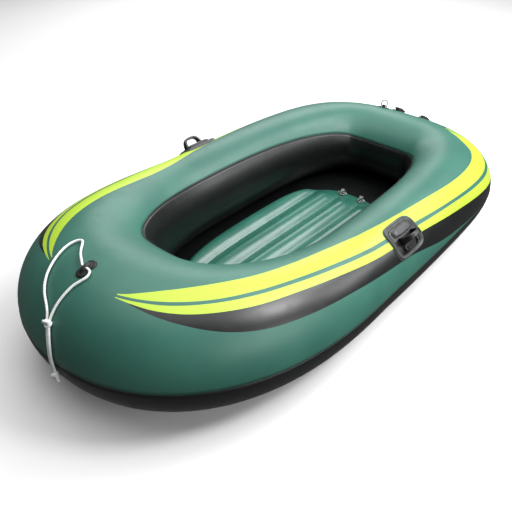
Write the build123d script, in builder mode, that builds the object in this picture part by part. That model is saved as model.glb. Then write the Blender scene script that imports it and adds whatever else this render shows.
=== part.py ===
"""Inflatable rowing boat: a ring-shaped air tube round a ribbed air floor, with its fittings.

Millimetres. +X points to the bow, +Y to port and +Z up. The origin is at the bottom, under the
middle of the boat's length and width.

A place on the tube is given by two angles in degrees. The station goes round the boat, from 0 at the
bow over 90 at the port side to 180 at the stern, and is negative on the starboard side. The section
angle goes round the tube, from 0 at its outermost line over 90 on top to 180 at the cockpit.
"""

import os
from math import cos, degrees, exp, pi, radians, sin, tan

from build123d import *

# ---- hull tube --------------------------------------------------------------------------------
bow_reach = 630.0  # midship station to the tube's centre line at the bow
stern_reach = 918.0  # midship station to the centre line at the stern
half_beam = 382.0  # keel plane to the centre line amidships
bow_squareness = 2.26  # superellipse powers of the centre line, 2 is a plain ellipse
stern_squareness = 3.35
mid_half_width, bow_half_width, stern_half_width = 145.0, 230.0, 150.0  # of the tube's section
mid_half_height, bow_half_height, stern_half_height = 157.0, 203.0, 146.0
bow_swell_power = 1.5  # how late the tube swells towards the bow
stern_swell_power = 2.1
corner_station, corner_spread = 137.0, 14.0  # of the stern's corners, where the tube bends hardest
corner_bulge = 0.24  # share by which the tube's outer half is fuller there
sheet = 1.0  # wall of every welded sheet
outer_seam = 0.0  # section angle where the upper sheet meets the lower one outside
inner_seam_mid, inner_seam_bow, inner_seam_stern = 134.0, 139.0, 157.0  # the same seam inside
seam_gap = 0.3
skin_gap = 0.3  # weld line between the tube's skin and what is welded to it
stations_per_half = 24
bulkhead_stations = (4.0, 176.0)  # just off the centre seams, so that each side is one chamber

# ---- bottom and floor -------------------------------------------------------------------------
bottom_lift = 0.2
bottom_sheet_thickness = 1.3
bottom_inset = 0.16  # share of the tube's half width between its lowest line and the weld
floor_centre = -142.0  # from the midship station
floor_half_length = 482.0
floor_half_width = 244.0
floor_squareness = 2.8
floor_height = 50.0  # crown of the ribs above the bottom sheet
floor_groove_height = 34.0
floor_ribs = 5
floor_end_land = 84.0  # low flat stretch at the stern end, where the valves sit
floor_gap = 0.3
rib_margin = 5.0  # how far the rib profile is drawn beyond the outline that trims it

# ---- oarlocks ---------------------------------------------------------------------------------
oarlock_station, oarlock_angle = 98.5, 51.0
pad_length, pad_width, pad_thickness, pad_corner = 150.0, 118.0, 3.0, 26.0
rim_width, rim_height = 7.0, 6.0
horn_length, horn_height, horn_wall, horn_depth = 80.0, 50.0, 9.0, 18.0
horn_offset = -6.0  # towards the top edge of the pad
horn_crown = 19.0  # corner radius of the horn's hole
horn_sink = 25.0  # the arch is drawn this far into the tube before the foot is trimmed
plate_length, plate_width, plate_thickness, plate_corner = 126.0, 94.0, 2.5, 18.0
step_length, step_width, step_height, step_crown = 84.0, 20.0, 13.0, 6.0
step_offset = -30.0  # towards the lower edge of the pad
step_sink = 12.0
shelf_length, shelf_width, shelf_height, shelf_crown = 104.0, 28.0, 12.0, 6.0
shelf_offset = 27.0
oarlock_gap = 0.2

# ---- bow eye and its line -----------------------------------------------------------------------
eye_angle = 74.0
eye_lobe_radius, eye_lobe_spread, eye_lobe_thickness = 17.0, 16.0, 4.0
eye_bridge_length, eye_bridge_width, eye_bridge_height = 40.0, 15.0, 17.0
eye_hole_radius, eye_hole_height = 4.3, 8.5
line_diameter = 7.0
knot_radius = 11.0

# ---- stern ring -----------------------------------------------------------------------------------
ring_station, ring_angle = -164.0, 72.0
ring_patch_length, ring_patch_width, ring_patch_thickness = 46.0, 32.0, 2.0
ring_wire, ring_width, ring_height = 4.0, 27.0, 25.0
ring_clearance = 0.3
ring_loop_length, ring_loop_wall = 12.0, 2.5

# ---- hull valves --------------------------------------------------------------------------------
valve_places = {"starboard": (-172.0, 60.0), "port": (172.0, 47.0)}
hinge_sides = {"starboard": -1, "port": 1}  # 1 puts the cap's hinge on the side towards the bow
valve_flange_radius, valve_flange_thickness = 27.0, 2.5
neck_radius, neck_bore, neck_height, neck_depth = 15.0, 11.5, 11.5, 12.0
cap_clearance, cap_wall, cap_top, cap_skirt = 0.4, 2.2, 2.4, 4.0
disc_thickness, disc_gap = 1.2, 0.3
hinge_reach, hinge_pin, hinge_barrel, hinge_clearance = 23.0, 1.3, 2.8, 0.08
ear_spread, ear_thickness, ear_gap = 5.0, 2.5, 0.3

# ---- floor valves ---------------------------------------------------------------------------------
floor_valve_x, floor_valve_y = -578.0, 46.0
stem_flange_radius, stem_flange_thickness = 17.0, 1.5
stem_radius, stem_bore, stem_height = 8.0, 5.6, 15.0
plug_head_radius, plug_head_thickness, plug_length, plug_clearance = 8.5, 3.0, 11.0, 0.1
plug_tab_length, plug_tab_width = 15.0, 7.0
strap_width, strap_thickness, strap_reach = 6.0, 1.6, 24.0

STARBOARD_ROUTE = [
    (800, -12, 406), (791, -28, 409), (780, -48, 409), (765, -68, 410), (747, -86, 410),
    (735, -102, 410), (745, -115, 408), (762, -120, 406), (783, -120, 402), (803, -116, 397),
    (824, -110, 390), (844, -102, 382), (864, -91, 373), (882, -77, 362), (897, -59, 353),
    (908, -40, 344), (918, -21, 335), (928, -6, 325), (939, 2, 310), (948, 11, 292),
    (957, 19, 273), (964, 25, 251), (969, 28, 227), (971, 30, 200), (971, 33, 174),
]
PORT_ROUTE = [
    (800, 12, 406), (801, 25, 407), (815, 31, 400), (834, 24, 393), (852, 15, 385),
    (871, 11, 374), (890, 8, 361), (907, 6, 346), (923, 6, 329), (938, 10, 311),
    (948, 19, 293), (957, 27, 273), (964, 33, 252), (969, 36, 228), (971, 38, 200), (971, 41, 174),
]
UPPER_KNOT = (937, 2, 320)
END_KNOT = (972, 37, 166)

midship = (stern_reach + stern_half_width - bow_reach - bow_half_width) / 2


# ---- the tube's shape -----------------------------------------------------------------------------
def centre_line(station):
    """X and Y of the tube's centre line."""
    along, across = cos(radians(station)), sin(radians(station))
    reach = bow_reach if along >= 0 else stern_reach
    power = bow_squareness if along >= 0 else stern_squareness
    scale = (abs(along) ** power + abs(across) ** power) ** (-1 / power)
    return midship + reach * scale * along, half_beam * scale * across


def blend(station, middle, bow, stern):
    """A size that changes smoothly from the middle of the boat to its ends."""
    x = centre_line(station)[0] - midship
    if x >= 0:
        return middle + (bow - middle) * min(x / bow_reach, 1) ** bow_swell_power
    return middle + (stern - middle) * min(-x / stern_reach, 1) ** stern_swell_power


def half_width(station):
    return blend(station, mid_half_width, bow_half_width, stern_half_width)


def outer_half_width(station):
    off = (abs((station + 180) % 360 - 180) - corner_station) / corner_spread
    return half_width(station) * (1 + corner_bulge * exp(-off * off))


def half_height(station):
    return blend(station, mid_half_height, bow_half_height, stern_half_height)


def inner_seam(station):
    return blend(station, inner_seam_mid, inner_seam_bow, inner_seam_stern)


def outward(station):
    """Horizontal unit vector from the centre line to the outside."""
    step = 0.05
    x0, y0 = centre_line(station - step)
    x1, y1 = centre_line(station + step)
    return Vector(y1 - y0, x0 - x1, 0).normalized()


def section_plane(station):
    """Plane of the tube's section: local X points outwards and local Y up."""
    x, y = centre_line(station)
    out = outward(station)
    return Plane(origin=(x, y, half_height(station)), x_dir=out, z_dir=out.cross(Vector(0, 0, 1)))


def skin_point(station, angle, lift=0.0):
    x, y = centre_line(station)
    wide = outer_half_width(station) if cos(radians(angle)) > 0 else half_width(station)
    reach = (wide + lift) * cos(radians(angle))
    z = half_height(station) + (half_height(station) + lift) * sin(radians(angle))
    return Vector(x, y, z) + outward(station) * reach


def seat(station, angle):
    """Plane on the skin: local Z is the outward normal, local X runs along the tube to the bow."""
    step = 0.1
    along = skin_point(station - step, angle) - skin_point(station + step, angle)
    if station < 0:
        along = along * -1
    around = skin_point(station, angle + step) - skin_point(station, angle - step)
    normal = along.cross(around).normalized()
    if normal.dot(skin_point(station, angle, 1.0) - skin_point(station, angle)) < 0:
        normal = normal * -1
    return Plane(origin=skin_point(station, angle), x_dir=along, z_dir=normal)


# Short stretches of the tube, grown by a distance, shape the feet of the fittings. No fitting sits at
# the stern's corners, so they leave out the bulge there.
def tube_stretch(low, high, grow, count=7):
    with BuildPart() as stretch:
        for index in range(count):
            station = low + (high - low) * index / (count - 1)
            with BuildSketch(section_plane(station)):
                Ellipse(half_width(station) + grow, half_height(station) + grow)
        loft()
    return stretch.part


def half_stations():
    return [180.0 * index / stations_per_half for index in range(stations_per_half + 1)]


def section_arcs(station, start, turn, end, depth):
    """Arcs from start to end through the top or bottom line, at a depth below the skin."""
    high = half_height(station) - depth
    widths = [outer_half_width(station) - depth, half_width(station) - depth]
    if turn == 270:
        widths.reverse()
    before = EllipticalCenterArc((0, 0), widths[0], high, start, arc_size=turn - start)
    after = EllipticalCenterArc((0, 0), widths[1], high, turn, arc_size=end - turn)
    return before @ 0, after @ 1


def skin_strip(start_of, turn, end_of):
    """Port half of a sheet that covers the tube between two section angles."""
    with BuildPart() as strip:
        for station in half_stations():
            start, end = start_of(station), end_of(station)
            with BuildSketch(section_plane(station)):
                with BuildLine():
                    outer = section_arcs(station, start, turn, end, 0.0)
                    inner = section_arcs(station, start, turn, end, sheet)
                    Line(outer[0], inner[0])
                    Line(outer[1], inner[1])
                make_face()
        loft()
    return strip.part


def seam_step(station):
    """Section angle that half the seam gap takes up."""
    return degrees(seam_gap / 2 / half_height(station))


def save(part, name):
    part.label = name
    export_step(part, f"parts/{name}.step")


os.makedirs("parts", exist_ok=True)

# ---- hull sheets ------------------------------------------------------------------------------------
def valve_seat(side):
    plane = seat(*valve_places[side])
    return Plane(origin=plane.origin, x_dir=plane.x_dir * hinge_sides[side], z_dir=plane.z_dir)


valve_seats = {side: valve_seat(side) for side in valve_places}

upper_half = skin_strip(
    lambda s: outer_seam + seam_step(s), 90, lambda s: inner_seam(s) - seam_step(s)
)
with BuildPart() as tube_upper_sheet:
    add(upper_half)
    mirror(upper_half, about=Plane.XZ)
    for plane in valve_seats.values():
        with BuildSketch(plane):
            Circle(neck_radius + skin_gap)
        extrude(amount=neck_depth, both=True, mode=Mode.SUBTRACT)
save(tube_upper_sheet.part, "tube_upper_sheet")

lower_half = skin_strip(
    lambda s: inner_seam(s) + seam_step(s), 270, lambda s: 360 + outer_seam - seam_step(s)
)
with BuildPart() as tube_lower_sheet:
    add(lower_half)
    mirror(lower_half, about=Plane.XZ)
save(tube_lower_sheet.part, "tube_lower_sheet")

with BuildPart() as chamber_bulkheads:
    for station in bulkhead_stations:
        inner_wide = half_width(station) - sheet - seam_gap
        inner_high = half_height(station) - sheet - seam_gap
        with BuildSketch(section_plane(station)):
            Ellipse(inner_wide, inner_high)
        extrude(amount=sheet)
save(chamber_bulkheads.part, "chamber_bulkheads")

# ---- bottom sheet and air floor -----------------------------------------------------------------------
def inset_point(station, share):
    """Point in the plan, set in from the centre line by a share of the tube's half width."""
    x, y = centre_line(station)
    return Vector(x, y, 0) - outward(station) * half_width(station) * share


with BuildPart() as bottom_sheet:
    with BuildSketch(Plane.XY.offset(bottom_lift)):
        with BuildLine():
            Spline([inset_point(10.0 * index, bottom_inset) for index in range(36)], periodic=True)
        make_face()
    extrude(amount=bottom_sheet_thickness)
save(bottom_sheet.part, "bottom_sheet")

floor_base = bottom_lift + bottom_sheet_thickness + floor_gap
rib_pitch = 2 * floor_half_width / floor_ribs
rib_lines = [(index - (floor_ribs - 1) / 2) * rib_pitch for index in range(floor_ribs)]
groove_lines = [(index - (floor_ribs - 2) / 2) * rib_pitch for index in range(floor_ribs - 1)]


def floor_outline_points(inset):
    points = []
    for index in range(36):
        along, across = cos(radians(10 * index)), sin(radians(10 * index))
        scale = (abs(along) ** floor_squareness + abs(across) ** floor_squareness)
        scale = scale ** (-1 / floor_squareness)
        x = midship + floor_centre + (floor_half_length - inset) * scale * along
        points.append((x, (floor_half_width - inset) * scale * across))
    return points


def rib_profile(inset):
    """A low slab with a crowned rib on each line, larger than the floor's outline all round."""
    low = floor_base + inset - rib_margin
    length = 2 * (floor_half_length + rib_margin)
    stern_end = midship + floor_centre - length / 2
    groove_top = floor_base + floor_groove_height - inset
    crown = floor_height - floor_groove_height
    with BuildPart() as profile:
        with BuildSketch(Plane.YZ.offset(stern_end)):
            with Locations((0, (low + groove_top) / 2)):
                Rectangle(2 * (floor_half_width + rib_margin), groove_top - low)
        extrude(amount=length)
        with BuildSketch(Plane.YZ.offset(stern_end + rib_margin + floor_end_land + inset)):
            for line in rib_lines:
                with Locations((line, groove_top)):
                    Ellipse(rib_pitch / 2 - inset, crown)
        extrude(amount=length - rib_margin - floor_end_land - inset)
    return profile.part


def floor_block(inset):
    """The air floor as a solid, shrunk by an inset."""
    with BuildPart() as block:
        with BuildSketch(Plane.XY.offset(floor_base + inset)):
            with BuildLine():
                Spline(floor_outline_points(inset), periodic=True)
            make_face()
        extrude(amount=floor_height + rib_margin)
        add(rib_profile(inset), mode=Mode.INTERSECT)
    return block.part


floor_solid = floor_block(0.0)
with BuildPart() as floor_top_sheet:
    add(floor_solid)
    add(floor_block(sheet), mode=Mode.SUBTRACT)
    with BuildSketch(Plane.XY.offset(floor_base)):
        with BuildLine():
            Spline(floor_outline_points(sheet), periodic=True)
        make_face()
    extrude(amount=sheet + floor_gap, mode=Mode.SUBTRACT)
    stem_spots = [(midship + floor_valve_x, side * floor_valve_y) for side in (-1, 1)]
    with BuildSketch(Plane.XY.offset(floor_base + floor_groove_height - 2 * sheet)):
        with Locations(*stem_spots):
            Circle(stem_bore)
    extrude(amount=4 * sheet, mode=Mode.SUBTRACT)
save(floor_top_sheet.part, "floor_top_sheet")

with BuildPart() as floor_bottom_sheet:
    with BuildSketch(Plane.XY.offset(floor_base)):
        with BuildLine():
            Spline(floor_outline_points(sheet + floor_gap), periodic=True)
        make_face()
    extrude(amount=sheet)
save(floor_bottom_sheet.part, "floor_bottom_sheet")

with BuildPart() as floor_webs:
    web_base = floor_base + sheet + floor_gap
    web_top = floor_base + floor_groove_height - sheet - floor_gap
    for line in groove_lines:
        share = abs(line) / floor_half_width
        reach = (floor_half_length - sheet) * (1 - share**floor_squareness) ** (1 / floor_squareness)
        web_length = 2 * reach * 0.94
        with Locations((midship + floor_centre, line, (web_base + web_top) / 2)):
            Box(web_length, sheet, web_top - web_base)
save(floor_webs.part, "floor_webs")


# ---- oarlocks -----------------------------------------------------------------------------------------
def foot(plane, outline_length, outline_width, corner, stretch_inner, stretch_outer, reach=60.0):
    """A pad with a rounded outline that lies between two grown copies of the tube."""
    with BuildPart() as pad:
        with BuildSketch(plane):
            RectangleRounded(outline_length, outline_width, corner)
        extrude(amount=reach, both=True)
        add(stretch_outer, mode=Mode.INTERSECT)
        add(stretch_inner, mode=Mode.SUBTRACT)
    return pad.part


def horn_profile(length, height, wall, crown):
    """An arch with upright legs under a round top; its hole is trimmed by the pad."""
    with Locations((0, height / 2 - horn_sink)):
        RectangleRounded(length, height + 2 * horn_sink, crown + wall)
    with Locations((0, (height - wall) / 2 - horn_sink)):
        RectangleRounded(length - 2 * wall, height - wall + 2 * horn_sink, crown, mode=Mode.SUBTRACT)


def oarlock(side):
    station = side * oarlock_station
    name = "port" if side > 0 else "starboard"
    plane = seat(station, oarlock_angle)
    spread = 9.0  # stations each way that cover the pad
    skin = tube_stretch(station - spread, station + spread, skin_gap)
    pad_top = tube_stretch(station - spread, station + spread, skin_gap + pad_thickness)
    rim_top = tube_stretch(station - spread, station + spread, skin_gap + rim_height)
    around = plane.y_dir.dot(Vector(0, 0, 1))
    up = 1 if around > 0 else -1

    inner_length, inner_width = pad_length - 2 * rim_width, pad_width - 2 * rim_width
    with BuildPart() as pad:
        add(foot(plane, pad_length, pad_width, pad_corner, skin, rim_top))
        recess = foot(plane, inner_length, inner_width, pad_corner - rim_width, pad_top, rim_top)
        add(recess, mode=Mode.SUBTRACT)
    save(pad.part, f"oarlock_pad_{name}")

    plate_low = tube_stretch(station - spread, station + spread, skin_gap + pad_thickness + oarlock_gap)
    plate_high = tube_stretch(
        station - spread, station + spread, skin_gap + pad_thickness + oarlock_gap + plate_thickness
    )
    arch_middle = plane.origin + plane.y_dir * (up * horn_offset)
    across = plane.x_dir.cross(plane.z_dir)
    ledges = (
        (step_offset, step_length, step_width, step_height, step_crown),
        (shelf_offset, shelf_length, shelf_width, shelf_height, shelf_crown),
    )
    with BuildPart() as horn:
        add(foot(plane, plate_length, plate_width, plate_corner, plate_low, plate_high))
        with BuildSketch(Plane(origin=arch_middle, x_dir=plane.x_dir, z_dir=across)):
            horn_profile(horn_length, horn_height, horn_wall, horn_crown)
        extrude(amount=horn_depth / 2, both=True)
        for offset, length, width, height, crown in ledges:
            middle = plane.origin + plane.y_dir * (up * offset)
            with BuildSketch(Plane(origin=middle, x_dir=plane.x_dir, z_dir=across)):
                with Locations((0, height / 2 - step_sink)):
                    RectangleRounded(length, height + 2 * step_sink, crown)
            extrude(amount=width / 2, both=True)
        add(plate_low, mode=Mode.SUBTRACT)
    save(horn.part, f"oarlock_horn_{name}")


for side in (1, -1):
    oarlock(side)

# ---- bow eye --------------------------------------------------------------------------------------------
eye_spot = seat(0.0, eye_angle)
fore = eye_spot.y_dir * (1 if eye_spot.y_dir.X > 0 else -1)
eye_seat = Plane(origin=eye_spot.origin, x_dir=fore, z_dir=eye_spot.z_dir)
eye_skin = tube_stretch(-14.0, 14.0, skin_gap)
eye_lobe_top = tube_stretch(-14.0, 14.0, skin_gap + eye_lobe_thickness)
eye_across = Plane(
    origin=eye_seat.origin + eye_seat.z_dir * eye_hole_height, x_dir=eye_seat.x_dir, z_dir=(0, 1, 0)
)
with BuildPart() as bow_eye:
    with BuildSketch(eye_seat):
        with Locations((eye_lobe_spread, 0), (-eye_lobe_spread, 0)):
            Circle(eye_lobe_radius)
    extrude(amount=20, both=True)
    add(eye_lobe_top, mode=Mode.INTERSECT)
    with BuildSketch(eye_across):
        with Locations((0, eye_bridge_height / 2 - eye_hole_height - 4)):
            RectangleRounded(eye_bridge_length, eye_bridge_height + 8, 7)
    extrude(amount=eye_bridge_width / 2, both=True)
    with BuildSketch(eye_across):
        Circle(eye_hole_radius)
    extrude(amount=eye_bridge_width, both=True, mode=Mode.SUBTRACT)
    add(eye_skin, mode=Mode.SUBTRACT)
save(bow_eye.part, "bow_eye")


# ---- bow line ---------------------------------------------------------------------------------------------
def corner_radii(points):
    radii = []
    for before, here, after in zip(points, points[1:], points[2:]):
        one, two = Vector(here) - Vector(before), Vector(after) - Vector(here)
        turn = one.get_angle(two)
        radii.append(0.45 * min(one.length, two.length) / tan(radians(turn) / 2))
    return radii


def line_tube(points, name):
    radii = corner_radii(points)
    print(name, "radii", [round(radius) for radius in radii])
    with BuildPart() as tube:
        with BuildLine() as route:
            FilletPolyline(*points, radius=radii)
        path = route.wires()[0]
        with BuildSketch(Plane(origin=path @ 0, z_dir=path % 0)):
            Circle(line_diameter / 2)
        sweep(path=path)
    length = path.length
    share = tube.part.volume / (length * pi * line_diameter**2 / 4)
    print(name, f"length {length:.0f} mm, volume over section times length {share:.4f}")
    save(tube.part, name)


line_tube(STARBOARD_ROUTE, "bow_line_starboard")
line_tube(PORT_ROUTE, "bow_line_port")
eye_mouths = [Vector(*STARBOARD_ROUTE[0]), Vector(*PORT_ROUTE[0])]
with BuildPart() as bow_line_in_eye:
    inside = eye_mouths[1] - eye_mouths[0]
    with BuildSketch(Plane(origin=eye_mouths[0], z_dir=inside)):
        Circle(line_diameter / 2)
    extrude(amount=inside.length)
save(bow_line_in_eye.part, "bow_line_in_eye")


def knot(centre, name):
    with BuildPart() as ball:
        with Locations(centre):
            Sphere(knot_radius)
    save(ball.part, name)


knot(UPPER_KNOT, "bow_line_upper_knot")
knot(END_KNOT, "bow_line_end_knot")

# ---- stern ring ---------------------------------------------------------------------------------------------
ring_seat = seat(ring_station, ring_angle)
ring_low, ring_high = ring_station - 7.0, ring_station + 7.0
ring_skin = tube_stretch(ring_low, ring_high, skin_gap)
ring_patch_top = tube_stretch(ring_low, ring_high, skin_gap + ring_patch_thickness)
ring_axis_height = ring_patch_thickness + skin_gap + ring_loop_wall + ring_wire / 2 + ring_clearance
ring_bore = ring_wire / 2 + ring_clearance
ring_loop_plane = Plane(
    origin=ring_seat.origin + ring_seat.z_dir * ring_axis_height,
    x_dir=ring_seat.y_dir,
    z_dir=ring_seat.x_dir,
)
with BuildPart() as stern_ring_patch:
    add(foot(ring_seat, ring_patch_length, ring_patch_width, 12.0, ring_skin, ring_patch_top, 30.0))
    with BuildSketch(ring_loop_plane):
        Circle(ring_bore + ring_loop_wall)
        with Locations((0, -ring_axis_height / 2)):
            Rectangle(2 * (ring_bore + ring_loop_wall), ring_axis_height)
    extrude(amount=ring_loop_length / 2, both=True)
    with BuildSketch(ring_loop_plane):
        Circle(ring_bore)
    extrude(amount=ring_loop_length, both=True, mode=Mode.SUBTRACT)
    add(ring_skin, mode=Mode.SUBTRACT)
save(stern_ring_patch.part, "stern_ring_patch")

ring_plane = Plane(origin=ring_loop_plane.origin, x_dir=ring_seat.x_dir, z_dir=ring_seat.y_dir)
ring_up = 1 if ring_plane.y_dir.dot(ring_seat.z_dir) > 0 else -1
with BuildPart() as stern_ring:
    leg = ring_width / 2
    crown = ring_up * (ring_height - leg)
    with BuildLine(ring_plane) as ring_line:
        Line((-leg, 0), (leg, 0))
        Line((leg, 0), (leg, crown))
        CenterArc((0, crown), leg, 0, ring_up * 180)
        Line((-leg, crown), (-leg, 0))
    ring_path = ring_line.wires()[0]
    with BuildSketch(Plane(origin=ring_path @ 0, z_dir=ring_path % 0)):
        Circle(ring_wire / 2)
    sweep(path=ring_path, transition=Transition.ROUND)
save(stern_ring.part, "stern_ring")


# ---- hull valves ----------------------------------------------------------------------------------------------
def hull_valve(side, plane):
    station = valve_places[side][0]
    skin = tube_stretch(station - 4.0, station + 4.0, skin_gap)
    flange_top = tube_stretch(station - 4.0, station + 4.0, skin_gap + valve_flange_thickness)
    hinge_height = neck_height - cap_skirt
    ear_outer = ear_spread + ear_gap + ear_thickness
    hinge_plane = Plane(
        origin=plane.origin + plane.x_dir * hinge_reach + plane.z_dir * hinge_height,
        x_dir=plane.x_dir,
        z_dir=plane.y_dir * -1,
    )
    with BuildPart() as base:
        with BuildSketch(plane):
            Circle(valve_flange_radius)
        extrude(amount=20, both=True)
        add(flange_top, mode=Mode.INTERSECT)
        add(skin, mode=Mode.SUBTRACT)
        with BuildSketch(plane.offset(-neck_depth)):
            Circle(neck_radius)
        extrude(amount=neck_depth + neck_height)
        with BuildSketch(hinge_plane):
            SlotOverall(2 * hinge_barrel + 4, 2 * hinge_barrel)
            with Locations((0, -hinge_height / 2)):
                Rectangle(2 * hinge_barrel, hinge_height)
        extrude(amount=ear_outer, both=True)
        with BuildSketch(plane.offset(hinge_height - hinge_barrel - 1.4)):
            with Locations((hinge_reach, 0)):
                Rectangle(4 * hinge_barrel + 4, 2 * (ear_spread + ear_gap))
        extrude(amount=4 * hinge_barrel, mode=Mode.SUBTRACT)
        with BuildSketch(hinge_plane):
            Circle(hinge_pin + hinge_clearance)
        extrude(amount=2 * ear_outer, both=True, mode=Mode.SUBTRACT)
        with BuildSketch(plane.offset(-2 * neck_depth)):
            Circle(neck_bore)
        extrude(amount=2 * neck_depth + 2 * neck_height, mode=Mode.SUBTRACT)
        with BuildSketch(plane.offset(-neck_depth + 2)):
            Rectangle(2 * neck_bore + 1, 3)
            Rectangle(3, 2 * neck_bore + 1)
        extrude(amount=3)
    save(base.part, f"hull_valve_base_{side}")

    with BuildPart() as disc:
        with BuildSketch(plane.offset(-neck_depth + 2 - disc_gap - disc_thickness)):
            Circle(neck_bore - disc_gap)
        extrude(amount=disc_thickness)
    save(disc.part, f"hull_valve_disc_{side}")

    cap_inner = neck_radius + cap_clearance
    cap_outer = cap_inner + cap_wall
    with BuildPart() as cap:
        with BuildSketch(plane.offset(hinge_height)):
            Circle(cap_outer)
        extrude(amount=cap_skirt + cap_clearance + cap_top)
        with BuildSketch(plane.offset(hinge_height)):
            Circle(cap_inner)
        extrude(amount=cap_skirt + cap_clearance, mode=Mode.SUBTRACT)
        with BuildSketch(plane.offset(hinge_height)):
            with Locations(((cap_outer + hinge_reach) / 2 - 0.5, 0)):
                Rectangle(hinge_reach - cap_outer + 1, 2 * ear_spread)
        extrude(amount=hinge_barrel)
        with BuildSketch(hinge_plane):
            Circle(hinge_barrel)
        extrude(amount=ear_spread, both=True)
        with BuildSketch(hinge_plane):
            Circle(hinge_pin)
        extrude(amount=ear_outer, both=True)
        with BuildSketch(plane.offset(hinge_height + 1)):
            with Locations((-cap_outer - 3, 0)):
                Rectangle(8, 12)
        extrude(amount=2)
    save(cap.part, f"hull_valve_cap_{side}")


for side, plane in valve_seats.items():
    hull_valve(side, plane)


# ---- floor valves -----------------------------------------------------------------------------------------------
land_top = floor_base + floor_groove_height
for name, side in (("starboard", -1), ("port", 1)):
    spot = (midship + floor_valve_x, side * floor_valve_y)
    top = land_top + floor_gap
    with BuildPart() as stem:
        with BuildSketch(Plane.XY.offset(top)):
            with Locations(spot):
                Circle(stem_flange_radius)
        extrude(amount=stem_flange_thickness)
        with BuildSketch(Plane.XY.offset(top)):
            with Locations(spot):
                Circle(stem_radius)
        extrude(amount=stem_height)
        with BuildSketch(Plane.XY.offset(top + stem_flange_thickness)):
            with Locations((spot[0], spot[1] + side * strap_reach / 2)):
                Rectangle(strap_width, strap_reach)
        extrude(amount=strap_thickness)
        with BuildSketch(Plane.XY.offset(top)):
            with Locations(spot):
                Circle(stem_bore)
        extrude(amount=stem_height, mode=Mode.SUBTRACT)
    save(stem.part, f"floor_valve_stem_{name}")

    with BuildPart() as plug:
        with BuildSketch(Plane.XY.offset(top + stem_height + plug_clearance)):
            with Locations(spot):
                Circle(plug_head_radius)
            with Locations((spot[0] + plug_tab_length / 2, spot[1])):
                Rectangle(plug_tab_length, plug_tab_width)
        extrude(amount=plug_head_thickness)
        with BuildSketch(Plane.XY.offset(top + stem_height + plug_clearance)):
            with Locations(spot):
                Circle(stem_bore - plug_clearance)
        extrude(amount=-plug_length)
    save(plug.part, f"floor_valve_plug_{name}")
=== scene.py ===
"""Inflatable rowing boat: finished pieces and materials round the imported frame, in metres.

+X points to the bow, +Y to port and +Z up. A place on the hull tube is given by a station, in degrees
round the boat from the bow over port, and a section angle, in degrees round the tube from its
outermost line over the top to the cockpit.
"""

from collections import namedtuple
from math import cos, exp, hypot, pi, radians, sin, sqrt

import bmesh
import bpy
from mathutils import Matrix, Vector, noise


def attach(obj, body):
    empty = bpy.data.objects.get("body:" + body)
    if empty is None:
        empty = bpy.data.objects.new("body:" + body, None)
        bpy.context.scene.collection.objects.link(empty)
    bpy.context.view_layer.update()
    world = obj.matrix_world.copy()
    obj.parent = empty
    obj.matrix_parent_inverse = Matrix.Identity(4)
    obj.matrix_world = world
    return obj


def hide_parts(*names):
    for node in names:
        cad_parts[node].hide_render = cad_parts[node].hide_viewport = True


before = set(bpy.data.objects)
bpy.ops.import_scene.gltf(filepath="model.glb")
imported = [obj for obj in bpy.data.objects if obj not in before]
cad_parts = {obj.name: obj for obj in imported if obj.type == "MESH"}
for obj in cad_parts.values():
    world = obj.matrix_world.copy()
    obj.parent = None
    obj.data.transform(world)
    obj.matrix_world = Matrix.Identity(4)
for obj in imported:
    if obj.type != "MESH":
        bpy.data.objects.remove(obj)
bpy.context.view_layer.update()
scene = bpy.context.scene

# ---- camera --------------------------------------------------------------------------------------
VIEW_AZIMUTH, VIEW_ELEVATION, VIEW_ROLL = radians(132.05), radians(36.83), radians(-0.635)
VIEW_TARGET = Vector((0.1987, 0.0538, 0.1282))
VIEW_DISTANCE = 2.0097
LENS, SENSOR_WIDTH = 41.14, 36.0


def add_camera():
    back = Vector((sin(VIEW_AZIMUTH) * cos(VIEW_ELEVATION), -cos(VIEW_AZIMUTH) * cos(VIEW_ELEVATION),
                   sin(VIEW_ELEVATION)))
    level = Vector((cos(VIEW_AZIMUTH), sin(VIEW_AZIMUTH), 0))
    upright = back.cross(level)
    right = level * cos(VIEW_ROLL) + upright * sin(VIEW_ROLL)
    up = upright * cos(VIEW_ROLL) - level * sin(VIEW_ROLL)
    turn = Matrix((right, up, back)).transposed().to_4x4()
    camera = bpy.data.objects.new("camera", bpy.data.cameras.new("camera"))
    camera.data.lens = LENS
    camera.data.sensor_width = SENSOR_WIDTH
    camera.matrix_world = Matrix.Translation(VIEW_TARGET + back * VIEW_DISTANCE) @ turn
    scene.collection.objects.link(camera)
    scene.camera = camera


add_camera()


# ---- materials -----------------------------------------------------------------------------------
class Value:
    """A number on a node's output. Arithmetic on it adds Math nodes."""

    def __init__(self, finish, socket):
        self.finish = finish
        self.socket = socket

    def math(self, operation, first, second):
        return self.finish.node("ShaderNodeMath", {"operation": operation}, {0: first, 1: second})

    def __add__(self, other):
        return self.math("ADD", self, other)

    def __sub__(self, other):
        return self.math("SUBTRACT", self, other)

    def __rsub__(self, other):
        return self.math("SUBTRACT", other, self)

    def __mul__(self, other):
        return self.math("MULTIPLY", self, other)

    __radd__ = __add__
    __rmul__ = __mul__


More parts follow.
